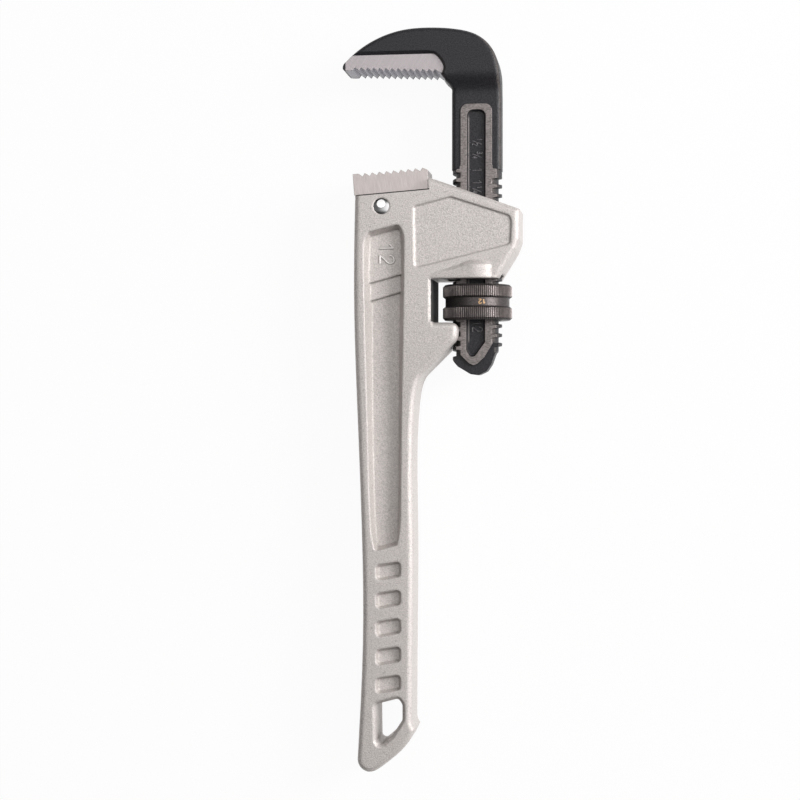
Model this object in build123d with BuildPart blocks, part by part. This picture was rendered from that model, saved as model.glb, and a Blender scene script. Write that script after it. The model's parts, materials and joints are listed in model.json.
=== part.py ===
import os
from math import cos, radians, sin, sqrt, tan

from build123d import *

os.makedirs("parts", exist_ok=True)

# The wrench lies on its side: +Y runs along the handle to the jaws, +X to the open side of the nut window,
# +Z is up through the thickness. Sizes below are measured from the middle of the nut on the screw axis.
screw_x = 18.31
nut_y = 39.79

# Screw thread
pitch = 3.8
thread_r = 10.1
root_r = 8.7
groove_half_root = 1.0
groove_half_crest = 1.3
thread_gap = 0.28
groove_arc = 104.0
groove_flank = (groove_half_crest - groove_half_root) / (thread_r - root_r)

# Shank and neck of the hook jaw
shank_half = 6.0
shank_tip = -29.6
thread_end = 54.0
neck_top = 84.5
rim_half = 6.4
rim_top = 80.7
rim_bottom = -25.2
neck_half = 5.5
channel_half = 3.9
channel_top = 78.4
channel_depth = 1.5

# Hook
hook_half = 9.6
hook_top = 111.7
pad_half = 8.1
pad_top = 101.2
bite_left = -50.4
bite_crest = 95.0
bite_slope = -2.7
hook_tooth_pitch = 2.53
hook_tooth_depth = 1.2
hook_teeth = 15

# Heel jaw
seat_x = -34.0
seat_y = 44.6
seat_angle = 4.3
heel_half = 8.1
heel_left = -15.8
heel_right = 15.0
heel_top = 9.2
heel_last_peak = 13.0
heel_tooth_pitch = 2.97
heel_tooth_depth = 1.3
heel_teeth = 9
tongue_half = 4.0
tongue_left = -10.4
tongue_right = 1.6
tongue_depth = 10.5
tongue_gap = 0.05
pin_r = 3.2
pin_at = (-4.4, -5.4)
pin_dome = 0.7

# Adjusting nut
nut_r = 14.15
nut_height = 14.4
nut_groove_r = 13.1
nut_groove_height = 3.2
nut_chamfer = 0.9
nut_mouth = 1.0
nut_groove_turns = 6
nut_groove_start = pitch / 4 - 3 * pitch
nut_groove_half = pitch / 2 - groove_half_root + thread_gap
nut_groove_depth = thread_r + thread_gap - root_r

# Handle and housing
head_half = 12.5
grip_half = 10.0
collar_r = 14.2
collar_land = 14.8
collar_top = 17.4
collar_foot_r = 12.1
window_left = -17.4
window_top = 9.4
window_bottom = -8.3
passage_gap = 0.25
passage_left_low = -12.4
passage_left_high = -13.7
lip_slot = -10.6
channel_floors = (8.0, 6.8, 5.6)
draft = 18.0
panel_depth = 0.7
pocket_pitch = 11.5
pocket_count = 5
pocket_floor = 7.4
edge_round = 2.2
hang_hole = (
    (-40.7, -163.6),
    (-31.4, -161.1),
    (-29.8, -163.6),
    (-29.8, -169.8),
    (-34.2, -176.6),
    (-38.6, -180.4),
    (-40.5, -179.2),
)

# Springs behind the shank
leaf_thick = 0.9
leaf_half_width = 4.6
leaf_low = 12.5
leaf_high = 43.5
leaf_gap = 0.1
leaf_stud_r = 1.9
coil_y = 27.0
coil_wire = 0.5
coil_r = 2.7
coil_turns = 5.5
bore_r = 3.6
bore_end = -24.6

mid = Plane((screw_x, nut_y, collar_r))
screw_axis = Axis(mid.origin, (0, 1, 0))
side = Plane(origin=mid.origin, x_dir=(0, 1, 0), z_dir=(1, 0, 0))
seat = Plane(
    origin=mid.from_local_coords((seat_x, seat_y, 0)),
    x_dir=(cos(radians(seat_angle)), sin(radians(seat_angle)), 0),
    z_dir=(0, 0, 1),
)

# ---------------------------------------------------------------- handle: one casting with the housing
with BuildPart() as handle:
    with BuildSketch(mid.offset(-head_half)):
        with BuildLine():
            back = Spline(
                (-48.6, 56.0),
                (-49.4, 25.0),
                (-49.5, 0.0),
                (-48.6, -40.0),
                (-46.5, -100.0),
                (-46.2, -135.0),
                (-47.5, -170.0),
                (-48.4, -186.0),
            )
            heel_round = TangentArc(back @ 1, (-44.6, -191.3), tangent=back % 1)
            end = Spline(
                heel_round @ 1,
                (-37.0, -188.1),
                (-31.0, -183.1),
                (-27.0, -178.4),
                (-24.6, -173.6),
                tangents=(heel_round % 1, (0.4, 1)),
            )
            flare = Spline(end @ 1, (-25.8, -170.0), tangents=((-0.7, 1), (0.01, 1)))
            front = Spline(
                flare @ 1,
                (-25.7, -150.0),
                (-25.4, -90.0),
                (-25.0, -45.0),
                (-21.2, -29.2),
                tangents=((0.01, 1), (1, 1)),
            )
            throat = Line(front @ 1, (-8.9, -16.9))
            lip_nose = Spline(
                throat @ 1,
                (-7.0, -12.6),
                (-10.6, window_bottom),
                tangents=((1, 1), (-1, 0)),
            )
            window = Polyline(
                lip_nose @ 1,
                (window_left, window_bottom),
                (window_left, window_top),
                (9.4, window_top),
                (16.4, 20.8),
                (18.0, 25.2),
                (18.0, 37.15),
                (-37.0, 57.0),
            )
            Line(window @ 1, back @ 0)
        make_face()
    extrude(amount=2 * head_half)
    with BuildSketch(side.offset(-80)):
        with BuildLine():
            upper = Polyline(
                (12.0, head_half),
                (70.0, head_half),
                (70.0, -head_half),
                (12.0, -head_half),
            )
            Spline(upper @ 1, (-62.0, -grip_half), tangents=((-1, 0), (-1, 0)))
            lower = Polyline(
                (-62.0, -grip_half),
                (-200.0, -grip_half),
                (-200.0, grip_half),
                (-62.0, grip_half),
            )
            Spline(lower @ 1, upper @ 0, tangents=((1, 0), (1, 0)))
        make_face()
    extrude(amount=140, mode=Mode.INTERSECT)
    wall_x = screw_x + window_left
    for face_side in (1, -1):
        outline = handle.edges().filter_by(
            lambda e: face_side * (e.center().Z - collar_r) > grip_half - 0.1
        )
        outline = outline.filter_by(lambda e: abs((e % 0.5).X) < 0.999)
        window_rim = outline.filter_by_position(Axis.X, wall_x - 0.1, wall_x + 0.1)
        fillet(outline - window_rim, edge_round)

# Everything sunk into the upper face of the casting; the lower face has the same
with BuildPart() as sunk_face:
    # raised-rim channel along the handle, its floor stepping deeper below the head
    with BuildSketch(mid.offset(channel_floors[2])) as channel_sketch:
        with BuildLine():
            channel_back = Spline((-43.1, 26.2), (-42.8, -20.0), (-42.4, -60.0), (-41.0, -99.9))
            channel_end = Line(channel_back @ 1, (-32.0, -97.4))
            channel_front = Spline(channel_end @ 1, (-31.5, -40.0), (-30.9, 29.4))
            Line(channel_front @ 1, channel_back @ 0)
        make_face()
        fillet(channel_sketch.vertices(), 1.0)
    extrude(amount=8, taper=-draft)
    with BuildSketch(mid.offset(channel_floors[2])):
        Polygon((-52, 5.6), (-24, 13.2), (-24, 40), (-52, 40), align=None)
    extrude(amount=channel_floors[0] - channel_floors[2], mode=Mode.SUBTRACT)
    with BuildSketch(mid.offset(channel_floors[2])):
        Polygon((-52, -1.8), (-24, 6.2), (-24, 14), (-52, 7), align=None)
    extrude(amount=channel_floors[1] - channel_floors[2], mode=Mode.SUBTRACT)

with BuildPart() as pockets:
    # grip pockets
    with BuildSketch(mid.offset(pocket_floor)) as pocket_sketch:
        with Locations(*[(0, -pocket_pitch * step) for step in range(pocket_count)]):
            Polygon((-39.8, -107.6), (-39.8, -112.4), (-31.2, -110.9), (-31.2, -106.1), align=None)
        fillet(pocket_sketch.vertices(), 1.0)
    extrude(amount=4, taper=-draft)
    # bevelled rim of the hang hole
    with BuildSketch(mid.offset(grip_half - 1.2)) as rim_sketch:
        Polygon(*hang_hole, align=None)
        fillet(rim_sketch.vertices(), 1.6)
    extrude(amount=2, taper=-45)

with BuildPart() as panel:
    # name panel on the head, left bare
    with BuildSketch(mid.offset(head_half - panel_depth)) as panel_sketch:
        Polygon(
            (-24.6, 38.4),
            (-9.8, 42.1),
            (13.7, 34.3),
            (14.5, 32.0),
            (14.1, 23.6),
            (12.7, 22.8),
            (-24.2, 14.0),
            align=None,
        )
        fillet(panel_sketch.vertices(), 1.0)
    extrude(amount=2, taper=-30)

with BuildPart() as collar:
    # thrust face above the nut, as round as the nut, coned back to the flat cheek
    with BuildSketch(mid):
        Polygon(
            (0, window_top),
            (collar_r, window_top),
            (collar_r, collar_land),
            (collar_foot_r, collar_top),
            (0, collar_top),
            align=None,
        )
    revolve(axis=screw_axis)
    with BuildSketch(mid.offset(-collar_r)):
        Polygon(
            (-20, window_top),
            (9.4, window_top),
            (16.4, 20.8),
            (-20, 20.8),
            align=None,
        )
    extrude(amount=2 * collar_r, mode=Mode.INTERSECT)

with BuildPart() as collar_ramp:
    # on the heel side the collar runs out in a long ramp to the corner of the window
    with BuildSketch(side):
        Polygon(
            (window_top, collar_foot_r),
            (window_top, collar_r),
            (collar_land, collar_r),
            (collar_top, collar_foot_r),
            align=None,
        )
    with BuildSketch(side.offset(window_left)):
        Polygon(
            (window_top, collar_foot_r),
            (window_top, head_half + 0.05),
            (window_top + 1.8, head_half + 0.05),
            (window_top + 2.8, collar_foot_r),
            align=None,
        )
    loft(ruled=True)

with handle:
    add(sunk_face.part, mode=Mode.SUBTRACT)
    add(mirror(sunk_face.part, about=mid, mode=Mode.PRIVATE), mode=Mode.SUBTRACT)
    add(pockets.part, mode=Mode.SUBTRACT)
    add(mirror(pockets.part, about=mid, mode=Mode.PRIVATE), mode=Mode.SUBTRACT)
    add(panel.part, mode=Mode.SUBTRACT)
    add(mirror(panel.part, about=mid, mode=Mode.PRIVATE), mode=Mode.SUBTRACT)
    add(collar.part)
    add(collar_ramp.part)
    add(mirror(collar_ramp.part, about=mid, mode=Mode.PRIVATE))
    # hang hole
    with BuildSketch(mid.offset(-collar_r)) as hole_sketch:
        Polygon(*hang_hole, align=None)
        fillet(hole_sketch.vertices(), 1.6)
    extrude(amount=2 * collar_r, mode=Mode.SUBTRACT)
    # shank passage through the head; its heel-side wall leans back to let the jaw rock
    with BuildSketch(mid.offset(-shank_half - passage_gap)):
        Polygon(
            (passage_left_low, window_top - 2),
            (thread_r + passage_gap, window_top - 2),
            (thread_r + passage_gap, 60),
            (passage_left_high, 60),
            (passage_left_high, 48),
            align=None,
        )
    extrude(amount=2 * (shank_half + passage_gap), mode=Mode.SUBTRACT)
    # slot in the guide lip that holds the edge of the shank
    with BuildSketch(mid.offset(-shank_half - passage_gap)):
        Polygon(
            (lip_slot, window_bottom + 2),
            (lip_slot, -40),
            (20, -40),
            (20, window_bottom + 2),
            align=None,
        )
    extrude(amount=2 * (shank_half + passage_gap), mode=Mode.SUBTRACT)
    # seat for the heel jaw with the slot for its tongue
    with BuildSketch(seat.offset(-20)):
        Polygon(
            (-30, 0),
            (heel_right + tongue_gap, 0),
            (heel_right + tongue_gap, 3.4),
            (heel_right + 1.8, 5.4),
            (heel_right + 1.8, 30),
            (-30, 30),
            align=None,
        )
    extrude(amount=40, mode=Mode.SUBTRACT)
    with BuildSketch(seat.offset(-tongue_half - tongue_gap)):
        Polygon(
            (tongue_left - tongue_gap, -tongue_depth - tongue_gap),
            (tongue_right + tongue_gap, -tongue_depth - tongue_gap),
            (tongue_right + tongue_gap, 1),
            (tongue_left - tongue_gap, 1),
            align=None,
        )
    extrude(amount=2 * (tongue_half + tongue_gap), mode=Mode.SUBTRACT)
    with BuildSketch(seat.offset(-20)):
        with Locations(pin_at):
            Circle(pin_r + tongue_gap)
    extrude(amount=40, mode=Mode.SUBTRACT)
    # blind bore for the coil spring
    bore_floor = mid.from_local_coords((bore_end, coil_y, 0))
    with BuildSketch(Plane(origin=bore_floor, z_dir=(1, 0, 0))):
        Circle(bore_r)
    extrude(amount=16, mode=Mode.SUBTRACT)
handle.part.label = "handle"
print("handle built")
export_step(handle.part, "parts/handle.step")

# ---------------------------------------------------------------- heel jaw and its pin
heel_profile = [(heel_left, heel_top), (heel_left + 2.4, heel_top)]
for tooth in range(heel_teeth):
    peak = heel_last_peak - heel_tooth_pitch * (heel_teeth - 1 - tooth)
    heel_profile.append((peak - 1.0, heel_top - heel_tooth_depth))
    heel_profile.append((peak, heel_top))
heel_profile += [(heel_right, heel_top - 1.0), (heel_right, 0), (heel_left, 0)]
with BuildPart() as heel_jaw:
    with BuildSketch(seat.offset(-heel_half)):
        Polygon(*heel_profile, align=None)
    extrude(amount=2 * heel_half)
    low_edge = heel_jaw.edges().filter_by(Axis.Z).sort_by(Axis.Y)[0]
    chamfer(low_edge, 0.6)
    with BuildSketch(seat.offset(-tongue_half)):
        Polygon(
            (tongue_left, -tongue_depth),
            (tongue_right, -tongue_depth),
            (tongue_right, 1),
            (tongue_left, 1),
            align=None,
        )
    extrude(amount=2 * tongue_half)
    with BuildSketch(seat.offset(-heel_half)):
        with Locations(pin_at):
            Circle(pin_r + tongue_gap)
    extrude(amount=2 * heel_half, mode=Mode.SUBTRACT)
heel_jaw.part.label = "heel_jaw"
print("heel jaw built")
export_step(heel_jaw.part, "parts/heel_jaw.step")

dome_r = (pin_r**2 + pin_dome**2) / (2 * pin_dome)
dome_shoulder = pin_dome - dome_r + sqrt(dome_r**2 - pin_r**2 / 4)
pin_plane = Plane(origin=seat.from_local_coords((*pin_at, 0)), x_dir=(1, 0, 0), z_dir=(0, -1, 0))
with BuildPart() as heel_jaw_pin:
    with BuildSketch(pin_plane):
        with BuildLine():
            shaft = Line((pin_r, -head_half), (pin_r, head_half))
            upper_dome = ThreePointArc(
                shaft @ 1,
                (pin_r / 2, head_half + dome_shoulder),
                (0, head_half + pin_dome),
            )
            middle = Line(upper_dome @ 1, (0, -head_half - pin_dome))
            ThreePointArc(middle @ 1, (pin_r / 2, -head_half - dome_shoulder), shaft @ 0)
        make_face()
    revolve(axis=Axis(pin_plane.origin, (0, 0, 1)))
heel_jaw_pin.part.label = "heel_jaw_pin"
print("pin built")
export_step(heel_jaw_pin.part, "parts/heel_jaw_pin.step")

# ---------------------------------------------------------------- hook jaw: hook, neck and threaded shank
crest_drop = tan(radians(-bite_slope))
bite_profile = []
for tooth in range(hook_teeth):
    crest_x = bite_left + hook_tooth_pitch * tooth
    crest_y = bite_crest - crest_drop * hook_tooth_pitch * tooth
    bite_profile.append((crest_x, crest_y))
    if tooth < hook_teeth - 1:
        bite_profile.append((crest_x + 0.85, crest_y + hook_tooth_depth))
last_crest = bite_profile[-1]
with BuildPart() as hook_jaw:
    with BuildSketch(mid.offset(-hook_half)):
        with BuildLine():
            tip = Line((-53.8, 94.9), (-54.6, 95.7))
            nose = ThreePointArc(tip @ 1, (-54.4, 97.2), (-53.3, 98.5))
            crown = Spline(
                nose @ 1,
                (-47.9, 103.3),
                (-40.0, 107.9),
                (-30.0, 111.0),
                (-18.7, hook_top),
                (-8.0, 110.8),
                (1.6, 107.6),
                (7.4, 101.2),
                (9.6, 93.0),
                (thread_r, 84.0),
            )
            neck = Polyline(crown @ 1, (thread_r, thread_end), (-thread_r, thread_end), (-thread_r, 85.4))
            inside = Spline(
                neck @ 1,
                (-11.2, 88.9),
                (-13.2, 90.9),
                (last_crest[0] + 0.6, last_crest[1] + 0.1),
            )
            Polyline(inside @ 1, *reversed(bite_profile), tip @ 0)
        make_face()
    extrude(amount=2 * hook_half)
    with BuildSketch(side.offset(-80)):
        with BuildLine():
            swell = Spline((neck_top, neck_half), (94.0, hook_half), tangents=((1, 0), (1, 0)))
            far = Polyline(swell @ 1, (120, hook_half), (120, -hook_half), (94.0, -hook_half))
            swell_low = Spline(far @ 1, (neck_top, -neck_half), tangents=((-1, 0), (-1, 0)))
            Polyline(swell_low @ 1, (40, -neck_half), (40, neck_half), swell @ 0)
        make_face()
    extrude(amount=140, mode=Mode.INTERSECT)
    rounded = hook_jaw.edges().filter_by(lambda e: abs((e @ 0.5).Z - collar_r) > neck_half - 0.1)
    rounded = rounded.filter_by(Axis.X, reverse=True)
    toothed = rounded.filter_by_position(Axis.X, screw_x - 53.5, screw_x - 14)
    toothed = toothed.filter_by(lambda e: e.length < 4)
    seams = rounded.filter_by(lambda e: abs((e % 0.5).X) > 0.98 and e.length < 25)
    fillet(rounded - toothed - seams, 2.0)
    # ground pads beside the teeth, one on each face
    with BuildSketch(mid.offset(pad_half)) as pad_sketch:
        with BuildLine():
            pad_edge = Line((-62, pad_top), (-19.0, pad_top))
            pad_bend = Spline(
                pad_edge @ 1,
                (-14.8, 98.8),
                (-13.2, 95.4),
                (-14.6, 92.3),
                tangents=((1, 0), (-1, -1)),
            )
            Polyline(pad_bend @ 1, (-18, 88), (-62, 88), pad_edge @ 0)
        make_face()
    extrude(amount=3, taper=-35, mode=Mode.SUBTRACT)
    lower_pad = pad_sketch.faces()[0].moved(Location((0, 0, -2 * pad_half)))
    extrude(lower_pad, -3, taper=-35, mode=Mode.SUBTRACT)

with BuildPart() as edge_groove:
    # single-start thread: the stretch of one turn's groove that crosses an edge of the shank
    with BuildLine():
        groove_line = Helix(
            pitch=pitch,
            height=pitch * groove_arc / 360,
            radius=root_r,
            center=mid.from_local_coords((0, -pitch * groove_arc / 720, 0)),
            direction=(0, 1, 0),
        )
    with BuildSketch(
        Plane(
            origin=groove_line @ 0,
            x_dir=(groove_line @ 0) - mid.from_local_coords((0, -pitch * groove_arc / 720, 0)),
            z_dir=groove_line % 0,
        )
    ):
        Polygon(
            (0, -groove_half_root),
            (2.4, -groove_half_root - 2.4 * groove_flank),
            (2.4, groove_half_root + 2.4 * groove_flank),
            (0, groove_half_root),
            align=None,
        )
    sweep(is_frenet=True)
open_side_groove = edge_groove.part.rotate(screw_axis, 90 - groove_arc / 2)
heel_side_groove = open_side_groove.rotate(screw_axis, 180).moved(Location((0, pitch / 2, 0)))

with BuildPart() as shank:
    # round bar with two flats, pointed at its lower end
    shank_foot = mid.from_local_coords((0, shank_tip - 1, 0))
    with BuildSketch(Plane(origin=shank_foot, x_dir=(0, 0, 1), z_dir=(0, 1, 0))):
        Circle(thread_r)
        Rectangle(2 * shank_half, 30, mode=Mode.INTERSECT)
    extrude(amount=thread_end - shank_tip + 1)
    for turn in range(-6, 14):
        add(open_side_groove.moved(Location((0, turn * pitch, 0))), mode=Mode.SUBTRACT)
        add(heel_side_groove.moved(Location((0, turn * pitch, 0))), mode=Mode.SUBTRACT)
    with BuildSketch(mid.offset(-shank_half)) as tip_sketch:
        Polygon(
            (-12, 60),
            (-12, -20.6),
            (-10.9, -22.3),
            (-7.6, -26.1),
            (-2.4, -29.2),
            (0.8, shank_tip),
            (4.1, -28.0),
            (6.0, -25.2),
            (7.6, -20.8),
            (12, -15.6),
            (12, 60),
            align=None,
        )
        fillet(tip_sketch.vertices().group_by(Axis.Y)[0], 2.5)
    extrude(amount=2 * shank_half, mode=Mode.INTERSECT)
    # forged slope around the ground rim at the point
    for face_side in (1, -1):
        with BuildSketch(mid.offset(face_side * shank_half)):
            Polygon(
                (-12, -19.0),
                (-7.8, -20.0),
                (-2.9, -24.9),
                (-1.2, rim_bottom - 0.4),
                (0.4, -25.0),
                (3.2, -22.4),
                (7.0, -16.2),
                (12, -11.0),
                (12, -35),
                (-12, -35),
                align=None,
            )
        extrude(amount=-1.3 * face_side, mode=Mode.SUBTRACT)

with hook_jaw:
    add(shank.part)
    for face_side in (1, -1):
        # ground rim carried up onto the neck
        with BuildSketch(mid.offset(face_side * (neck_half - 0.5))) as rim_sketch_up:
            Polygon(
                (-8.0, thread_end),
                (-rim_half, thread_end + 1.8),
                (-rim_half, rim_top),
                (rim_half, rim_top),
                (rim_half, thread_end + 1.8),
                (8.0, thread_end),
                align=None,
            )
            fillet(rim_sketch_up.vertices().group_by(Axis.Y)[-1], 3.0)
        extrude(amount=face_side * (shank_half - neck_half + 0.5))
        # milled channel with the pipe-size scale
        with BuildSketch(mid.offset(face_side * (shank_half - channel_depth))) as channel_floor:
            Polygon(
                (0.7 - channel_half, channel_top - 0.7),
                (channel_half - 0.7, channel_top - 0.7),
                (2.9, -16.0),
                (-0.9, -21.3),
                (-2.2, -21.6),
                (-3.5, -19.3),
                align=None,
            )
            fillet(channel_floor.vertices().group_by(Axis.Y)[-1], 2.0)
            fillet(channel_floor.vertices().group_by(Axis.Y)[0], 0.8)
        extrude(amount=face_side * (channel_depth + 1), taper=-25, mode=Mode.SUBTRACT)
hook_jaw.part.label = "hook_jaw"
print("hook jaw built")
export_step(hook_jaw.part, "parts/hook_jaw.step")

# ---------------------------------------------------------------- adjusting nut
with BuildPart() as nut_groove:
    # the nut's own groove runs half a pitch from the shank's, so its ridge sits in the middle of that one
    with BuildLine():
        nut_line = Helix(
            pitch=pitch,
            height=nut_groove_turns * pitch,
            radius=root_r,
            center=mid.from_local_coords((0, nut_groove_start, 0)),
            direction=(0, 1, 0),
        )
    with BuildSketch(
        Plane(
            origin=nut_line @ 0,
            x_dir=(nut_line @ 0) - mid.from_local_coords((0, nut_groove_start, 0)),
            z_dir=nut_line % 0,
        )
    ):
        Polygon(
            (0, -nut_groove_half),
            (nut_groove_depth, groove_flank * nut_groove_depth - nut_groove_half),
            (nut_groove_depth, nut_groove_half - groove_flank * nut_groove_depth),
            (0, nut_groove_half),
            align=None,
        )
    sweep(is_frenet=True)

with BuildPart() as nut_blank:
    with BuildSketch(mid):
        Polygon(
            (root_r + thread_gap + nut_mouth, nut_height / 2),
            (nut_r - nut_chamfer, nut_height / 2),
            (nut_r, nut_height / 2 - nut_chamfer),
            (nut_r, nut_groove_height / 2 + 0.8),
            (nut_groove_r, nut_groove_height / 2),
            (nut_groove_r, -nut_groove_height / 2),
            (nut_r, -nut_groove_height / 2 - 0.8),
            (nut_r, nut_chamfer - nut_height / 2),
            (nut_r - nut_chamfer, -nut_height / 2),
            (root_r + thread_gap + nut_mouth, -nut_height / 2),
            (root_r + thread_gap, nut_mouth - nut_height / 2),
            (root_r + thread_gap, nut_height / 2 - nut_mouth),
            align=None,
        )
    revolve(axis=screw_axis)

# the blank is turned until its seam lies clear of the groove's two mouths, where the cut comes out clean
for seam in range(-36, 324, 12):
    threaded_nut = nut_blank.part.rotate(screw_axis, seam) - nut_groove.part
    if 0.7 < threaded_nut.volume / nut_blank.part.volume < 0.95:
        break
with BuildPart() as adjusting_nut:
    add(threaded_nut)
adjusting_nut.part.label = "adjusting_nut"
print("adjusting nut built")
export_step(adjusting_nut.part, "parts/adjusting_nut.step")

# ---------------------------------------------------------------- springs on the heel side of the shank
leaf_face = -thread_r - leaf_gap
with BuildPart() as flat_spring:
    with BuildSketch(mid.offset(-leaf_half_width)):
        with BuildLine():
            inner_face = Polyline(
                (leaf_face - 0.5, leaf_low),
                (leaf_face, leaf_low + 2.5),
                (leaf_face, leaf_high),
            )
            Polyline(
                inner_face @ 1,
                (leaf_face - leaf_thick, leaf_high),
                (leaf_face - leaf_thick, leaf_low + 2.5),
                (leaf_face - leaf_thick - 0.4, leaf_low),
                inner_face @ 0,
            )
        make_face()
    extrude(amount=2 * leaf_half_width)
    # pressed stud that keeps the coil spring central
    stud_foot = mid.from_local_coords((leaf_face - leaf_thick, coil_y, 0))
    with BuildSketch(Plane(origin=stud_foot, z_dir=(-1, 0, 0))):
        Circle(leaf_stud_r)
    extrude(amount=1.2)
    chamfer(flat_spring.edges().sort_by(Axis.X)[0], 0.4)
    fillet(flat_spring.edges().filter_by(Axis.X), 1.2)
flat_spring.part.label = "flat_spring"
print("flat spring built")
export_step(flat_spring.part, "parts/flat_spring.step")

coil_start = leaf_face - leaf_thick - 0.03 - coil_wire
coil_length = coil_start - bore_end - 0.03 - coil_wire
with BuildPart() as coil_spring:
    with BuildLine():
        coil_line = Helix(
            pitch=coil_length / coil_turns,
            height=coil_length,
            radius=coil_r,
            center=mid.from_local_coords((coil_start, coil_y, 0)),
            direction=(-1, 0, 0),
        )
    with BuildSketch(Plane(origin=coil_line @ 0, z_dir=coil_line % 0)):
        Circle(coil_wire)
    sweep(is_frenet=True)
coil_spring.part.label = "coil_spring"
print("coil spring built")
export_step(coil_spring.part, "parts/coil_spring.step")

pieces = [handle, heel_jaw, heel_jaw_pin, hook_jaw, adjusting_nut, flat_spring, coil_spring]
whole = Compound([piece.part for piece in pieces]).bounding_box()
print("whole wrench", whole.size)
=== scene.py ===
import json
from math import atan2, cos, pi, radians, sin, sqrt

import bmesh
import bpy
from mathutils import Matrix, Vector


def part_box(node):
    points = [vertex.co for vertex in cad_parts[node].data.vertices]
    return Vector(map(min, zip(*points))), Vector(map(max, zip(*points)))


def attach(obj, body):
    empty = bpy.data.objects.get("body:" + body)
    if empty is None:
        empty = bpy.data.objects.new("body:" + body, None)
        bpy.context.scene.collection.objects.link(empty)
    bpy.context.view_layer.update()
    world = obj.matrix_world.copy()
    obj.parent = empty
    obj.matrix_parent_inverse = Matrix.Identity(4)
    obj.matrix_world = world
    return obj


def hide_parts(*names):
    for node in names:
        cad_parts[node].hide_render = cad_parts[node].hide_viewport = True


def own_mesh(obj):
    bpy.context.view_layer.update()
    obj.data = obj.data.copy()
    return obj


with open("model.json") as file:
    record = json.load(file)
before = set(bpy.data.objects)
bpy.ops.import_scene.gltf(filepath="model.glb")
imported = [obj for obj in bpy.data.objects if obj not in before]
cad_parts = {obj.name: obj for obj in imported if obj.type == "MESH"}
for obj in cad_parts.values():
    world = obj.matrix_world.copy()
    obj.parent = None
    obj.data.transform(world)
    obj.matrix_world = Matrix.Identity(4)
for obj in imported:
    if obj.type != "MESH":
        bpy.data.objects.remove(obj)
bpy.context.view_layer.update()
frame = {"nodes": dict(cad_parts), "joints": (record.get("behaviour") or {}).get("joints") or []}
nodes = frame["nodes"]
print("frame loaded", sorted(nodes))

# centre of the nut, on the screw axis
screwX, nutY, midZ = next(joint for joint in frame["joints"] if joint["name"] == "nut_spin")["pos_m"]


def place(x, y, z=0.0):  # millimetres from the nut's centre to metres in the frame
    return Vector((screwX + x / 1000, nutY + y / 1000, midZ + z / 1000))


# In the dictionaries below, places and sizes are in millimetres, edges and reaches in metres, and a bump is
# (strength, metres deep). A noise is (scale, detail, roughness, low level, high level), and then what those
# two levels become where that isn't 0 and 1.

def startMaterial(name, colour, metallic, roughness):
    material = bpy.data.materials.new(name)
    material.use_nodes = True
    shader = material.node_tree.nodes["Principled BSDF"]
    shader.inputs["Base Color"].default_value = (*colour, 1)
    shader.inputs["Metallic"].default_value = metallic
    shader.inputs["Roughness"].default_value = roughness
    return material, material.node_tree, shader


def add(tree, kind, **values):
    node = tree.nodes.new(kind)
    for key, value in values.items():
        setattr(node, key, value)
    return node


def objectSpace(tree, turn=(0, 0, 0), stretch=(1, 1, 1), centre=(0, 0, 0)):
    where = add(tree, "ShaderNodeTexCoord")
    mapping = add(tree, "ShaderNodeMapping", vector_type="TEXTURE")
    mapping.inputs["Location"].default_value = centre
    mapping.inputs["Rotation"].default_value = turn
    mapping.inputs["Scale"].default_value = stretch
    tree.links.new(where.outputs["Object"], mapping.inputs["Vector"])
    return mapping.outputs["Vector"]


def noise(tree, vector, scale, detail=2.0, rough=0.5):
    node = add(tree, "ShaderNodeTexNoise")
    node.inputs["Scale"].default_value = scale
    node.inputs["Detail"].default_value = detail
    node.inputs["Roughness"].default_value = rough
    tree.links.new(vector, node.inputs["Vector"])
    return node.outputs["Fac"]


def spread(tree, value, low, high, outLow=0.0, outHigh=1.0):
    node = add(tree, "ShaderNodeMapRange", interpolation_type="SMOOTHSTEP")
    for key, number in (("From Min", low), ("From Max", high), ("To Min", outLow), ("To Max", outHigh)):
        node.inputs[key].default_value = number
    tree.links.new(value, node.inputs["Value"])
    return node.outputs["Result"]


def mottle(tree, vector, scale, detail, rough, low, high, outLow=0.0, outHigh=1.0):
    return spread(tree, noise(tree, vector, scale, detail, rough), low, high, outLow, outHigh)


def maths(tree, operation, *values):
    node = add(tree, "ShaderNodeMath", operation=operation)
    for index, value in enumerate(values):
        if isinstance(value, (int, float)):
            node.inputs[index].default_value = value
        else:
            tree.links.new(value, node.inputs[index])
    return node.outputs["Value"]


def product(tree, first, *others):
    for value in others:
        first = maths(tree, "MULTIPLY", first, value)
    return first


def larger(tree, first, second):
    return maths(tree, "MAXIMUM", first, second)


def remainder(tree, share):
    return maths(tree, "SUBTRACT", 1.0, share)


def absolute(tree, value):
    return maths(tree, "ABSOLUTE", value)


def between(tree, value, low, high, soft=0.08):  # 1 where the value lies between low and high
    up = spread(tree, value, (low - soft) / 1000, (low + soft) / 1000)
    down = spread(tree, value, (high - soft) / 1000, (high + soft) / 1000, 1, 0)
    return product(tree, up, down)


def blendColour(tree, factor, first, second):
    node = add(tree, "ShaderNodeMix", data_type="RGBA")
    for key, value in ((0, factor), (6, first), (7, second)):
        if isinstance(value, tuple):
            node.inputs[key].default_value = (*value, 1)
        else:
            tree.links.new(value, node.inputs[key])
    return node.outputs[2]


def bump(tree, shader, height, strength, distance, before=None):
    node = add(tree, "ShaderNodeBump")
    node.inputs["Strength"].default_value = strength
    node.inputs["Distance"].default_value = distance
    tree.links.new(height, node.inputs["Height"])
    if before:
        tree.links.new(before, node.inputs["Normal"])
    tree.links.new(node.outputs["Normal"], shader.inputs["Normal"])
    return node.outputs["Normal"]


def roundEdges(tree, radius):  # softens the light on edges that casting, forging or a file leaves rounded
    node = add(tree, "ShaderNodeBevel", samples=8)
    node.inputs["Radius"].default_value = radius
    return node.outputs["Normal"]


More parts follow.
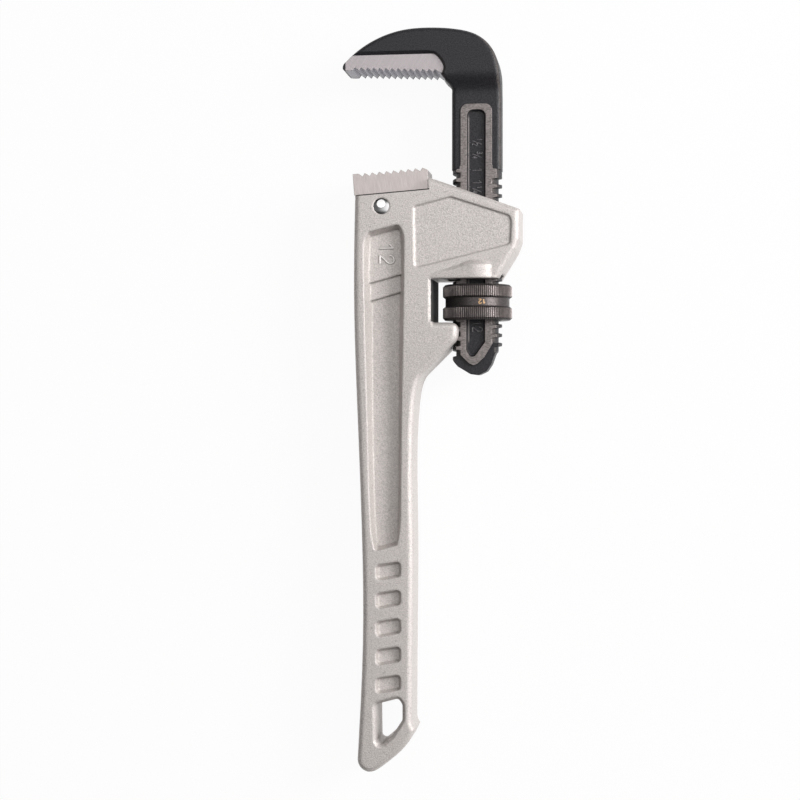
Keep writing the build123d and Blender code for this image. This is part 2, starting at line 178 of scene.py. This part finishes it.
def crevice(tree, reach):  # 1 in the open, towards 0 in corners and gaps
    node = add(tree, "ShaderNodeAmbientOcclusion", samples=6)
    node.inputs["Distance"].default_value = reach
    return node.outputs["AO"]


def axisValue(tree, vector, axis):
    node = add(tree, "ShaderNodeSeparateXYZ")
    tree.links.new(vector, node.inputs["Vector"])
    return node.outputs[axis]


def facing(tree, axis, normal="True Normal"):  # from -1 to 1, how far the surface faces along an axis
    return axisValue(tree, add(tree, "ShaderNodeNewGeometry").outputs[normal], axis)


def radiusOf(tree, vector, plane):  # distance from the axis that stands square to the plane
    flat = add(tree, "ShaderNodeVectorMath", operation="MULTIPLY")
    flat.inputs[1].default_value = plane
    tree.links.new(vector, flat.inputs[0])
    away = add(tree, "ShaderNodeVectorMath", operation="LENGTH")
    tree.links.new(flat.outputs["Vector"], away.inputs[0])
    return away.outputs["Value"]


def dress(name, material):
    slots = nodes[name].data.materials
    slots.clear()
    slots.append(material)


def finishPiece(name, mesh, material, body, smooth):
    bmesh.ops.recalc_face_normals(mesh, faces=mesh.faces)
    data = bpy.data.meshes.new(name)
    mesh.to_mesh(data)
    mesh.free()
    data.materials.append(material)
    data.shade_smooth()
    data.set_sharp_from_angle(angle=smooth)
    piece = bpy.data.objects.new(name, data)
    bpy.context.scene.collection.objects.link(piece)
    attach(piece, body)
    return piece


def ringFrom(profile, steps):  # closed outline of (radius, height), spun round the screw axis
    mesh = bmesh.new()
    corners = [mesh.verts.new(place(radius, height)) for radius, height in profile]
    edges = [mesh.edges.new((corners[i - 1], corners[i])) for i in range(len(corners))]
    bmesh.ops.spin(
        mesh, geom=corners + edges, cent=place(0, 0), axis=(0, 1, 0), angle=2 * pi, steps=steps, use_merge=True,
    )
    bmesh.ops.remove_doubles(mesh, verts=mesh.verts, dist=1e-6)
    return mesh


# handle: cast aluminium under a silver coat
heelSeat = {"foot": (-34.0, 44.6), "lean": radians(4.3)}  # where the heel jaw stands on the handle

handleLook = {
    "dark": (0.485, 0.45, 0.43),
    "light": (0.665, 0.618, 0.594),
    "pit": (0.33, 0.30, 0.285),
    # painted shade in corners and recesses
    "cornerShade": (0.10, 0.095, 0.085),
    # painted shade on the wall left of the nut, and painted shadow under the heel jaw
    "bare": (0.035, 0.034, 0.033),
    "metallic": 0.35,
    "roughness": 0.46,
    "roughRange": (0.55, 0.38),  # between the grains, on the grains
    "grain": (2100.0, 3.0, 0.65, 0.34, 0.66),
    "grainBump": (0.4, 0.00013),
    "flow": (45.0, 2.0, 0.5, 0.3, 0.7),
    "flowShare": 0.1,
    "pits": (1302.0, 1.0, 0.5, 0.64, 0.72),
    "pitShare": 0.55,
    "swell": 420.0,
    "swellBump": (0.12, 0.0004),
    "hollowReach": 0.005,
    "hollowShade": (0.08, 0.5, 0.8, 0.0),
    "edge": 0.0012,
    "wall": (-17.8, -17.2, -8.0, 9.2),  # left, right, foot and head
    "wallEnds": 0.3,
    "rim": 1.7,
    "rimBump": (1.0, 0.0005),
    "rimGap": 0.1,
    "rimInset": 0.4,
    "rimEnds": 1.2,
    "seam": (-0.45, 0.1, -16.5, 15.6),  # low, high, left and right, from the heel jaw's foot
    "cheek": 0.6,
}


def heelSpace(tree):
    return objectSpace(tree, (0, 0, heelSeat["lean"]), centre=place(*heelSeat["foot"]))


def cheekSeamShadow(tree, look):  # painted shadow: a dark line under the heel jaw, on the handle's two cheeks only
    low, high, left, right = look["seam"]
    seated = heelSpace(tree)
    seam = between(tree, axisValue(tree, seated, "Y"), low, high)
    seam = product(tree, seam, between(tree, axisValue(tree, seated, "X"), left, right))
    return product(tree, seam, maths(tree, "GREATER_THAN", absolute(tree, facing(tree, "Z")), look["cheek"]))


def castSilver(look):
    material, tree, shader = startMaterial("castSilver", look["light"], look["metallic"], look["roughness"])
    here = objectSpace(tree)
    grain = mottle(tree, here, *look["grain"])
    flow = product(tree, mottle(tree, here, *look["flow"]), look["flowShare"])
    pits = product(tree, mottle(tree, here, *look["pits"]), look["pitShare"])
    tone = blendColour(tree, grain, look["dark"], look["light"])
    tone = blendColour(tree, flow, tone, look["light"])
    tone = blendColour(tree, pits, tone, look["pit"])
    # painted shade: darker colour in corners and recesses, from ambient occlusion
    hollowShade = spread(tree, crevice(tree, look["hollowReach"]), *look["hollowShade"])
    tone = blendColour(tree, hollowShade, tone, look["cornerShade"])

    left, right, foot, head = look["wall"]  # painted shade: the wall left of the nut, shaded by the nut and the housing, is painted dark, dull and not metallic
    fromNut = objectSpace(tree, centre=place(0, 0))
    across, along = axisValue(tree, fromNut, "X"), axisValue(tree, fromNut, "Y")
    wall = product(tree, between(tree, across, left, right), between(tree, along, foot, head, look["wallEnds"]))
    tone = blendColour(tree, wall, tone, look["bare"])
    # painted shadow under the heel jaw
    seam = cheekSeamShadow(tree, look)
    tone = blendColour(tree, seam, tone, look["bare"])
    tree.links.new(tone, shader.inputs["Base Color"])
    # no metal and full roughness where the shade and shadow are painted
    unshadowed = remainder(tree, larger(tree, wall, seam))
    tree.links.new(product(tree, unshadowed, look["metallic"]), shader.inputs["Metallic"])
    rough = spread(tree, grain, 0, 1, *look["roughRange"])
    tree.links.new(larger(tree, rough, remainder(tree, unshadowed)), shader.inputs["Roughness"])

    middle = (left + right) / 2  # the rim in front of that wall is rounded like the rest of the outline
    slope = spread(tree, across, (middle - look["rim"]) / 1000, middle / 1000, 1.0, 0.0)
    slope = larger(tree, slope, maths(tree, "GREATER_THAN", across, (middle + look["rimGap"]) / 1000))
    window = between(tree, along, foot + look["rimInset"], head - look["rimInset"], look["rimEnds"])
    slope = larger(tree, slope, remainder(tree, window))
    rounded = bump(tree, shader, slope, *look["rimBump"], roundEdges(tree, look["edge"]))
    grained = bump(tree, shader, grain, *look["grainBump"], rounded)
    bump(tree, shader, noise(tree, here, look["swell"]), *look["swellBump"], grained)
    return material


dress("handle", castSilver(handleLook))
print("handle dressed")

# heel jaw: ground tool steel, as the springs are
groundLook = {
    "metallic": 0.85,
    "roughness": 0.38,
    "roughRange": (0.46, 0.34),  # between the strokes, on the strokes
    "stretch": (30, 1, 1),
    "wide": (500.0, 2.0, 0.5, 0.3, 0.7),
    "wideShare": 0.3,
    "strokeBump": (0.2, 0.00004),
}

heelLook = {
    "light": (0.55, 0.497, 0.482),
    "dark": (0.455, 0.41, 0.397),
    "slant": radians(99),
    "strokes": (5200.0, 3.0, 0.6, 0.32, 0.68),
    "edge": 0.00025,
    "shade": (0.16, 0.145, 0.14),
    "seam": (-0.3, 0.4),  # low and high, from the jaw's foot
    "seamShare": 0.9,
    "end": 14.9,
    "endFade": 0.05,
    "endShare": 0.6,
}


def groundSpace(tree, look):  # stretched along a slant, so that noise in it becomes long fine strokes
    return objectSpace(tree, (0, 0, look["slant"]), groundLook["stretch"])


def groundSteel(name, look):
    material, tree, shader = startMaterial(
        name, look["light"], groundLook["metallic"], groundLook["roughness"],
    )
    lines = groundSpace(tree, look)
    strokes = mottle(tree, lines, *look["strokes"])
    wide = product(tree, mottle(tree, lines, *groundLook["wide"]), groundLook["wideShare"])
    tone = blendColour(tree, strokes, look["dark"], look["light"])
    tone = blendColour(tree, wide, tone, look["light"])
    if "seam" in look:  # painted shadow in the seam under the jaw, and painted shade on the jaw's end face
        seated = heelSpace(tree)
        seam = between(tree, axisValue(tree, seated, "Y"), *look["seam"])
        end = look["end"] / 1000, look["end"] / 1000 + look["endFade"] / 1000
        # painted shade on the jaw's end face
        endShade = spread(tree, axisValue(tree, seated, "X"), *end, 0.0, look["endShare"])
        tone = blendColour(tree, larger(tree, product(tree, seam, look["seamShare"]), endShade), tone, look["shade"])
    tree.links.new(tone, shader.inputs["Base Color"])
    tree.links.new(spread(tree, strokes, 0, 1, *groundLook["roughRange"]), shader.inputs["Roughness"])
    bump(tree, shader, strokes, *groundLook["strokeBump"], roundEdges(tree, look["edge"]))
    return material


dress("heel_jaw", groundSteel("groundSteel", heelLook))

# pin: polished, with faint turning rings
pinLook = {
    "colour": (0.78, 0.77, 0.77),
    "metallic": 1.0,
    "roughness": 0.1,
    "roughRange": (0.05, 0.12),
    "rings": 10400.0,
    "dents": 900.0,
    "dentBump": (0.08, 0.0001),
}


def polishedSteel(look):
    material, tree, shader = startMaterial("polishedSteel", look["colour"], look["metallic"], look["roughness"])
    low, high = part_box("heel_jaw_pin")
    here = objectSpace(tree, centre=((low.x + high.x) / 2, (low.y + high.y) / 2, 0))
    rings = maths(tree, "SINE", product(tree, radiusOf(tree, here, (1, 1, 0)), look["rings"]))
    tree.links.new(spread(tree, rings, -1, 1, *look["roughRange"]), shader.inputs["Roughness"])
    bump(tree, shader, noise(tree, here, look["dents"]), *look["dentBump"])
    return material


dress("heel_jaw_pin", polishedSteel(pinLook))
print("heel jaw and pin dressed")

# hook jaw: black forging with bare ground faces
hookLook = {
    "black": (0.010, 0.0095, 0.012),
    "worn": (0.032, 0.030, 0.034),
    "metallic": 0.0,
    "roughness": 0.45,
    "roughRange": (0.52, 0.38),  # between the grains, on the grains
    "specular": 0.3,
    "grain": (2600.0, 3.0, 0.6, 0.35, 0.65),
    "grainBump": (0.25, 0.0001),
    "edge": 0.0003,
    # wear on the rounded edges, and painted sheen, strongest on the edges that face +X toward the key lamp
    "rubbedSheen": (0.10, 0.085, 0.078),
    "rubNoise": (900.0, 4.0, 0.65, 0.36, 0.62, 0.25, 0.9),
    "rubTilt": (0.3, 0.6),
    "rubTop": (0.66, 0.94, 1, 0),
    "rubSheenOuter": (0.25, 0.5),
    "rubSheenInner": (-0.5, -0.25, 0.55, 0.0),
    # painted highlight: a light line along the left corner of the milled channel's floor
    "corner": (-3.3, -2.95),
    "cornerDepth": (4.3, 4.9),
    "cornerLength": (-16.0, 75.5),
    "cornerEnds": 1.0,
    "cornerShare": 0.8,
    # ground rim on both sides, wider between the threads than on the neck
    "rim": (0.275, 0.245, 0.24),
    "rimDark": (0.13, 0.115, 0.11),
    "rimMetallic": 0.4,
    "rimDepth": (5.8, 6.25),
    "rimLength": (-40.0, 82.0),
    "rimHalf": 6.7,
    "toothRoot": 8.4,
    "threadEnd": 54.0,
    "threadFade": 0.3,
    "scuffs": (2600.0, 3.0, 0.6, 0.3, 0.66),
    "scuffStretch": (2.5, 1, 1),
    # bare steel round the teeth
    "steel": (0.485, 0.443, 0.45),
    "steelDark": (0.44, 0.40, 0.41),
    "toothSteel": (0.36, 0.35, 0.38),
    "padMetallic": 0.7,
    "slant": radians(60),
    "strokes": (3200.0, 3.0, 0.6, 0.32, 0.68),
    "flank": (0.8, 0.95, 1.0, 0.0),
    "padLength": (80.0, 101.0),
    "padWidth": (-53.4, -12.6),
    "padDepth": (-1.0, 8.35),
}


def wornAndSheenEdges(tree, here, tilt, look):  # the outer edge rubs in a drawer or on a belt, the inner one less; the lighter colour there is also a painted sheen on the edges that face +X toward the key lamp
    side = facing(tree, "X")
    outward = larger(tree, spread(tree, side, *look["rubSheenOuter"]), spread(tree, side, *look["rubSheenInner"]))
    rounded = product(tree, spread(tree, tilt, *look["rubTilt"]), spread(tree, tilt, *look["rubTop"]), outward)
    return product(tree, rounded, mottle(tree, here, *look["rubNoise"]))


def blackForging(look):
    material, tree, shader = startMaterial("blackForging", look["black"], look["metallic"], look["roughness"])
    shader.inputs["Specular IOR Level"].default_value = look["specular"]
    here = objectSpace(tree, centre=place(0, 0))
    across, along, depth = (axisValue(tree, here, axis) for axis in "XYZ")
    depth = absolute(tree, depth)
    tilt = absolute(tree, facing(tree, "Z"))
    grain = mottle(tree, here, *look["grain"])
    tone = blendColour(tree, grain, look["black"], look["worn"])
    tone = blendColour(tree, wornAndSheenEdges(tree, here, tilt, look), tone, look["rubbedSheen"])

    # painted highlight along the channel floor's left fillet
    corner = product(
        tree,
        between(tree, across, *look["corner"]),
        between(tree, depth, *look["cornerDepth"]),
        between(tree, along, *look["cornerLength"], look["cornerEnds"]),
        look["cornerShare"],
    )
    tone = blendColour(tree, corner, tone, look["rim"])

    end = look["threadEnd"] / 1000, look["threadEnd"] / 1000 + look["threadFade"] / 1000
    width = spread(tree, along, *end, look["toothRoot"] / 1000, look["rimHalf"] / 1000)
    inside = maths(tree, "LESS_THAN", absolute(tree, across), width)
    rim = product(tree, between(tree, depth, *look["rimDepth"]), inside, between(tree, along, *look["rimLength"]))
    scuffs = mottle(tree, objectSpace(tree, stretch=look["scuffStretch"]), *look["scuffs"])
    tone = blendColour(tree, rim, tone, blendColour(tree, scuffs, look["rimDark"], look["rim"]))

    pad = product(
        tree,
        between(tree, along, *look["padLength"]),
        between(tree, across, *look["padWidth"]),
        between(tree, depth, *look["padDepth"]),
    )
    strokes = mottle(tree, groundSpace(tree, look), *look["strokes"])
    steel = blendColour(tree, strokes, look["steelDark"], look["steel"])
    steel = blendColour(tree, spread(tree, tilt, *look["flank"]), steel, look["toothSteel"])
    tone = blendColour(tree, pad, tone, steel)
    tree.links.new(tone, shader.inputs["Base Color"])
    metal = maths(tree, "MULTIPLY_ADD", pad, look["padMetallic"], product(tree, rim, look["rimMetallic"]))
    tree.links.new(metal, shader.inputs["Metallic"])
    tree.links.new(spread(tree, grain, 0, 1, *look["roughRange"]), shader.inputs["Roughness"])
    bump(tree, shader, grain, *look["grainBump"], roundEdges(tree, look["edge"]))
    return material


dress("hook_jaw", blackForging(hookLook))
print("hook jaw dressed")

# adjusting nut: dark steel, knurled
nutLook = {
    "radius": 14.15,
    "height": 14.4,
    "grooveRadius": 13.1,
    "grooveHeight": 3.2,
    "shoulder": 0.8,
    "chamfer": 0.9,
    "bore": 8.98,
    "mouth": 1.0,
    "ribs": 106,
    "ribDepth": 0.34,
    "smooth": radians(24),
    "metal": (0.062, 0.054, 0.054),
    "bright": (0.21, 0.182, 0.175),
    "metallic": 0.8,
    "roughness": 0.4,
    "roughRange": (0.48, 0.32),  # between the grains, on the grains
    "grain": (2600.0, 2.0, 0.5, 0.35, 0.65),
    "grainShare": 0.25,
    "grainBump": (0.2, 0.00008),
    "patches": (260.0, 3.0, 0.5, 0.35, 0.65),
    "patchRange": (0.45, 1.0),
    "crest": (0.3, 0.05),  # below the full radius, where the brightness begins and is whole
}


def gunmetal(look):
    material, tree, shader = startMaterial("gunmetal", look["metal"], look["metallic"], look["roughness"])
    here = objectSpace(tree, centre=place(0, 0))
    start, whole = (look["radius"] / 1000 - below / 1000 for below in look["crest"])
    crest = spread(tree, radiusOf(tree, here, (1, 0, 1)), start, whole)
    patches = mottle(tree, here, *look["patches"])
    worn = product(tree, crest, spread(tree, patches, 0, 1, *look["patchRange"]))
    grain = mottle(tree, here, *look["grain"])
    tone = blendColour(tree, product(tree, grain, look["grainShare"]), look["metal"], look["bright"])
    tone = blendColour(tree, worn, tone, look["bright"])
    tree.links.new(tone, shader.inputs["Base Color"])
    tree.links.new(spread(tree, grain, 0, 1, *look["roughRange"]), shader.inputs["Roughness"])
    bump(tree, shader, grain, *look["grainBump"])
    return material


def knurledNut(look):
    half, groove = look["height"] / 2, look["grooveHeight"] / 2
    inner = groove + look["shoulder"]
    profile = [
        (look["bore"], half - look["mouth"]),
        (look["bore"] + look["mouth"], half),
        (look["radius"] - look["chamfer"], half),
        (look["radius"], half - look["chamfer"]),
        (look["radius"], inner),
        (look["grooveRadius"], groove),
    ]
    profile += [(radius, -height) for radius, height in reversed(profile)]
    lines = look["ribs"] * 4  # along the nut, four to a rib
    mesh = ringFrom(profile, lines)
    centre = place(0, 0)
    for corner in mesh.verts:
        away = corner.co - centre
        radius = sqrt(away.x ** 2 + away.z ** 2)
        if radius < look["radius"] / 1000 - 1e-5:
            continue
        line = round(atan2(away.z, away.x) / (2 * pi) * lines) % 4
        if line > 1:  # two of every four lines go down between the ribs
            shrink = 1 - look["ribDepth"] / 1000 / radius
            corner.co = centre + Vector((away.x * shrink, away.y, away.z * shrink))
    return mesh


nutMetal = gunmetal(nutLook)
nut = finishPiece("knurledNut", knurledNut(nutLook), nutMetal, "nut", nutLook["smooth"])
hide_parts("adjusting_nut")
print("nut knurled")

# springs: ground steel; the coil, which shortens as the jaw rocks, is rebuilt here as one rigid mesh on the
# handle's body
springLook = {
    "light": (0.45, 0.45, 0.47),
    "dark": (0.25, 0.25, 0.27),
    "slant": radians(90),
    "strokes": (2400.0, 3.0, 0.6, 0.32, 0.68),
    "edge": 0.0001,
    "smooth": radians(40),
}

springSteel = groundSteel("springSteel", springLook)
dress("flat_spring", springSteel)

coilMesh = bmesh.new()
coilMesh.from_mesh(nodes["coil_spring"].data)
bmesh.ops.remove_doubles(coilMesh, verts=coilMesh.verts, dist=1e-6)
coil = finishPiece("coilSpring", coilMesh, springSteel, "handle_body", springLook["smooth"])
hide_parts("coil_spring")
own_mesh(coil)
print("springs dressed")

# raised numbers: strokes of each figure, in figure heights
figureStrokes = {
    "1": [[(0.08, 0.7), (0.36, 1.0)], [(0.36, 1.0), (0.36, 0.0)]],
    "2": [
        [(0.04, 0.72), (0.06, 1.0), (0.56, 1.08), (0.62, 0.6), (0.3, 0.35), (0.04, 0.0)],
        [(0.04, 0.0), (0.62, 0.0)],
    ],
    "3": [
        [(0.05, 0.9), (0.2, 1.04), (0.58, 1.02), (0.56, 0.6), (0.22, 0.54)],
        [(0.22, 0.54), (0.62, 0.5), (0.66, 0.04), (0.2, -0.06), (0.02, 0.12)],
    ],
    "4": [[(0.46, 0.0), (0.46, 1.0)], [(0.46, 1.0), (0.02, 0.3)], [(0.02, 0.3), (0.62, 0.3)]],
    "/": [[(0.0, 0.0), (0.5, 1.0)]],
}
figureSet = {"step": 0.82, "smallStep": 0.3, "small": 0.5, "drop": 0.5, "bevel": 2, "curve": 5}


def addStroke(curve, points):  # points in metres; three or more make a smooth line
    curved = len(points) > 2
    spline = curve.splines.new("NURBS" if curved else "POLY")
    spline.points.add(len(points) - 1)
    for point, (x, y) in zip(spline.points, points):
        point.co = (x, y, 0, 1)
    if curved:
        spline.order_u = 3
        spline.use_endpoint_u = True


def figureMesh(text, height, stroke, turn, narrow):  # round ridges, with a fraction small round its bar
    curve = bpy.data.curves.new("figures", "CURVE")
    curve.dimensions = "3D"
    curve.bevel_depth = stroke / 2000
    curve.bevel_resolution = figureSet["bevel"]
    curve.resolution_u = figureSet["curve"]
    curve.use_fill_caps = True
    bar = text.find("/")
    step = 0.0
    for index, figure in enumerate(text):
        upper, lower = bar > 0 and index == bar - 1, bar > 0 and index == bar + 1
        small = figureSet["small"] if upper or lower else 1.0
        lift = 0.0 if upper else -figureSet["drop"]
        for points in figureStrokes[figure]:
            addStroke(curve, [
                ((step + x * small) * narrow * height / 1000, (y * small + lift) * height / 1000)
                for x, y in points
            ])
        step += figureSet["smallStep"] if upper or figure == "/" else figureSet["step"]
    item = bpy.data.objects.new("figures", curve)
    bpy.context.scene.collection.objects.link(item)
    bpy.context.view_layer.update()
    mesh = bmesh.new()
    mesh.from_mesh(bpy.data.meshes.new_from_object(item.evaluated_get(bpy.context.evaluated_depsgraph_get())))
    bpy.data.objects.remove(item)
    middle = (min(corner.co.x for corner in mesh.verts) + max(corner.co.x for corner in mesh.verts)) / 2
    bmesh.ops.translate(mesh, verts=mesh.verts, vec=(-middle, 0, 0))
    bmesh.ops.rotate(mesh, verts=mesh.verts, matrix=Matrix.Rotation(turn, 3, "Z"))
    return mesh


def crestOf(tree):  # 1 on the crest of a raised figure, towards 0 on its flanks
    return absolute(tree, facing(tree, "Z", "Normal"))


# the size, on the handle
sizeMark = {
    "text": "12",
    "height": 5.6,
    "stroke": 0.95,
    "turn": radians(-90),
    "narrow": 1.05,
    "at": (-36.4, 19.8, 8.05),
    "smooth": radians(60),
    # painted highlight on the crests of the figures, painted shade on their flanks
    "crest": (0.86, 0.82, 0.8),
    "side": (0.2, 0.18, 0.17),
    "roughness": 0.42,
    "grainShare": 0.3,
    "grainBump": (0.2, 0.0001),
    "flank": (0.5, 0.95),
}


def litAndShadedSilver(look, mark):  # painted light: the crest of a figure is painted bright as a highlight and its flanks dark as shade
    material, tree, shader = startMaterial("litAndShadedSilver", look["light"], look["metallic"], mark["roughness"])
    grain = mottle(tree, objectSpace(tree), *look["grain"])
    crest = blendColour(tree, product(tree, grain, mark["grainShare"]), mark["crest"], look["light"])
    tone = blendColour(tree, spread(tree, crestOf(tree), *mark["flank"]), mark["side"], crest)
    tree.links.new(tone, shader.inputs["Base Color"])
    bump(tree, shader, grain, *mark["grainBump"])
    return material


def markMesh(mark, text):
    return figureMesh(text, mark["height"], mark["stroke"], mark["turn"], mark["narrow"])


figures = markMesh(sizeMark, sizeMark["text"])
bmesh.ops.translate(figures, verts=figures.verts, vec=place(*sizeMark["at"]))
silver = litAndShadedSilver(handleLook, sizeMark)
finishPiece("sizeMark", figures, silver, "handle_body", sizeMark["smooth"])

# the scale in the jaw's milled channel; the number below the nut has no tick
jawScale = {
    "marks": {"1/2": 65.2, "3/4": 60.0, "1": 54.1, "11/4": 47.1, "11/2": 40.9, "2": 28.9, "12": -9.8},
    "height": 3.8,
    "stroke": 0.62,
    "turn": radians(-90),
    "narrow": 0.8,
    "across": 0.3,
    "floor": 4.5,
    "tick": (0.9, 0.3, 0.4),
    "tickAcross": -2.9,
    "smooth": radians(40),
    "paint": (0.008, 0.0075, 0.009),
    # lighter crests: paint rubbed off in patches, and a painted highlight
    "crest": (0.15, 0.142, 0.148),
    "metallic": 0.0,
    "roughness": 0.3,
    "rubsAndSheen": (1800.0, 3.0, 0.5, 0.35, 0.65, 0.4, 1.0),
    "rubBump": (0.2, 0.0001),
    "flank": (0.6, 0.95),
}


def scalePaint(look):
    material, tree, shader = startMaterial("scalePaint", look["paint"], look["metallic"], look["roughness"])
    rubbedSheen = mottle(tree, objectSpace(tree), *look["rubsAndSheen"])
    # rubbed paint and painted highlight on the figures' crests
    crest = product(tree, spread(tree, crestOf(tree), *look["flank"]), rubbedSheen)
    tree.links.new(blendColour(tree, crest, look["paint"], look["crest"]), shader.inputs["Base Color"])
    bump(tree, shader, rubbedSheen, *look["rubBump"])
    return material


scale = bmesh.new()
for text, height in jawScale["marks"].items():
    figures = markMesh(jawScale, text)
    bmesh.ops.translate(figures, verts=figures.verts, vec=place(jawScale["across"], height, jawScale["floor"]))
    loose = bpy.data.meshes.new("loose")
    figures.to_mesh(loose)
    scale.from_mesh(loose)
    figures.free()
    if height > 0:
        tick = bmesh.ops.create_cube(scale, size=0.001)["verts"]
        bmesh.ops.scale(scale, verts=tick, vec=jawScale["tick"])
        bmesh.ops.translate(scale, verts=tick, vec=place(jawScale["tickAcross"], height, jawScale["floor"]))
finishPiece("jawScale", scale, scalePaint(jawScale), "hook", jawScale["smooth"])

# the number in the nut's groove
nutMark = {
    "text": "12",
    "height": 1.7,
    "stroke": 0.45,
    "turn": radians(180),
    "narrow": 1.1,
    "offset": 2.9,
    "flatten": 0.3,
    "smooth": radians(30),
    "copper": (0.52, 0.33, 0.17),
    "metallic": 0.4,
    "roughness": 0.4,
    "grain": 3000.0,
    "grainBump": (0.2, 0.0001),
}


def copperFill(look):
    material, tree, shader = startMaterial("copperFill", look["copper"], look["metallic"], look["roughness"])
    bump(tree, shader, noise(tree, objectSpace(tree), look["grain"]), *look["grainBump"])
    return material


copper = copperFill(nutMark)
figures = markMesh(nutMark, nutMark["text"])
wrap = nutLook["grooveRadius"] / 1000
for corner in figures.verts:  # laid round the bottom of the groove
    angle = (corner.co.x + nutMark["offset"] / 1000) / wrap
    away = wrap + corner.co.z * nutMark["flatten"]
    corner.co = place(0, 0) + Vector((sin(angle) * away, corner.co.y, cos(angle) * away))
finishPiece("nutMark", figures, copper, "nut", nutMark["smooth"])
print("numbers placed")

# stage: a floor that glows white and still takes some of the tool's shadow
stageLook = {"paper": (0.72, 0.72, 0.72), "roughness": 0.9, "glow": 0.95, "reach": 3.0, "height": -0.0003}


def paper(look):
    material, tree, shader = startMaterial("paper", look["paper"], 0.0, look["roughness"])
    rays = add(tree, "ShaderNodeLightPath")
    white = add(tree, "ShaderNodeEmission")
    seen = larger(tree, rays.outputs["Is Glossy Ray"], rays.outputs["Is Transmission Ray"])
    seen = larger(tree, seen, product(tree, rays.outputs["Is Camera Ray"], look["glow"]))
    mix = add(tree, "ShaderNodeMixShader")
    tree.links.new(seen, mix.inputs["Fac"])
    tree.links.new(shader.outputs["BSDF"], mix.inputs[1])
    tree.links.new(white.outputs["Emission"], mix.inputs[2])
    tree.links.new(mix.outputs["Shader"], tree.nodes["Material Output"].inputs["Surface"])
    return material


floorMesh = bmesh.new()
bmesh.ops.create_grid(floorMesh, x_segments=1, y_segments=1, size=stageLook["reach"])
floorData = bpy.data.meshes.new("floor")
floorMesh.to_mesh(floorData)
floorMesh.free()
floorData.materials.append(paper(stageLook))
floor = bpy.data.objects.new("floor", floorData)
bpy.context.scene.collection.objects.link(floor)
floor.location.z = stageLook["height"]

# sky: dim at -X, bright at +X, and falling off beyond both ends of the tool
skyLook = {"across": (-0.62, 0.8, 0.12, 1.06), "ends": (0.25, 0.62, 1.2, 0.12)}

world = bpy.data.worlds.new("studio")
world.use_nodes = True
bpy.context.scene.world = world
sky = world.node_tree
backdrop = sky.nodes["Background"]
backdrop.inputs["Color"].default_value = (1, 1, 1, 1)
skyWay = add(sky, "ShaderNodeTexCoord").outputs["Generated"]
skyAcross = spread(sky, axisValue(sky, skyWay, "X"), *skyLook["across"])
skyEnds = spread(sky, absolute(sky, axisValue(sky, skyWay, "Y")), *skyLook["ends"])
cameraRay = add(sky, "ShaderNodeLightPath").outputs["Is Camera Ray"]
sky.links.new(larger(sky, product(sky, skyAcross, skyEnds), cameraRay), backdrop.inputs["Strength"])

# lamps, in metres
lampTarget = Vector((0, 0, 0.01))
lamps = {
    "keyLamp": {"at": (0.95, 0.35, 0.62), "size": 0.56, "power": 13.5},
    "fillLamp": {"at": (-0.2, 0.5, 1.1), "size": 1.1, "power": 3.4},
}
for name, lamp in lamps.items():
    data = bpy.data.lights.new(name, "AREA")
    data.shape = "DISK"
    data.size = lamp["size"]
    data.energy = lamp["power"]
    item = bpy.data.objects.new(name, data)
    item.location = lamp["at"]
    item.rotation_euler = (lampTarget - Vector(lamp["at"])).to_track_quat("-Z", "Y").to_euler()
    bpy.context.scene.collection.objects.link(item)

# camera, aimed in millimetres from the nut's centre and set back in metres
cameraSetup = {"aim": (-32.0, -39.7), "lean": radians(7.6), "distance": 0.7086, "lens": 77.4, "sensor": 36}
cameraData = bpy.data.cameras.new("camera")
cameraData.lens = cameraSetup["lens"]
cameraData.sensor_width = cameraSetup["sensor"]
camera = bpy.data.objects.new("camera", cameraData)
outward = Vector((sin(cameraSetup["lean"]), 0, cos(cameraSetup["lean"])))
camera.location = place(*cameraSetup["aim"]) + outward * cameraSetup["distance"]
camera.rotation_euler = (0, cameraSetup["lean"], 0)
bpy.context.scene.collection.objects.link(camera)
bpy.context.scene.camera = camera
bpy.context.scene.view_settings.view_transform = "Standard"
print("stage, lamps and camera set")
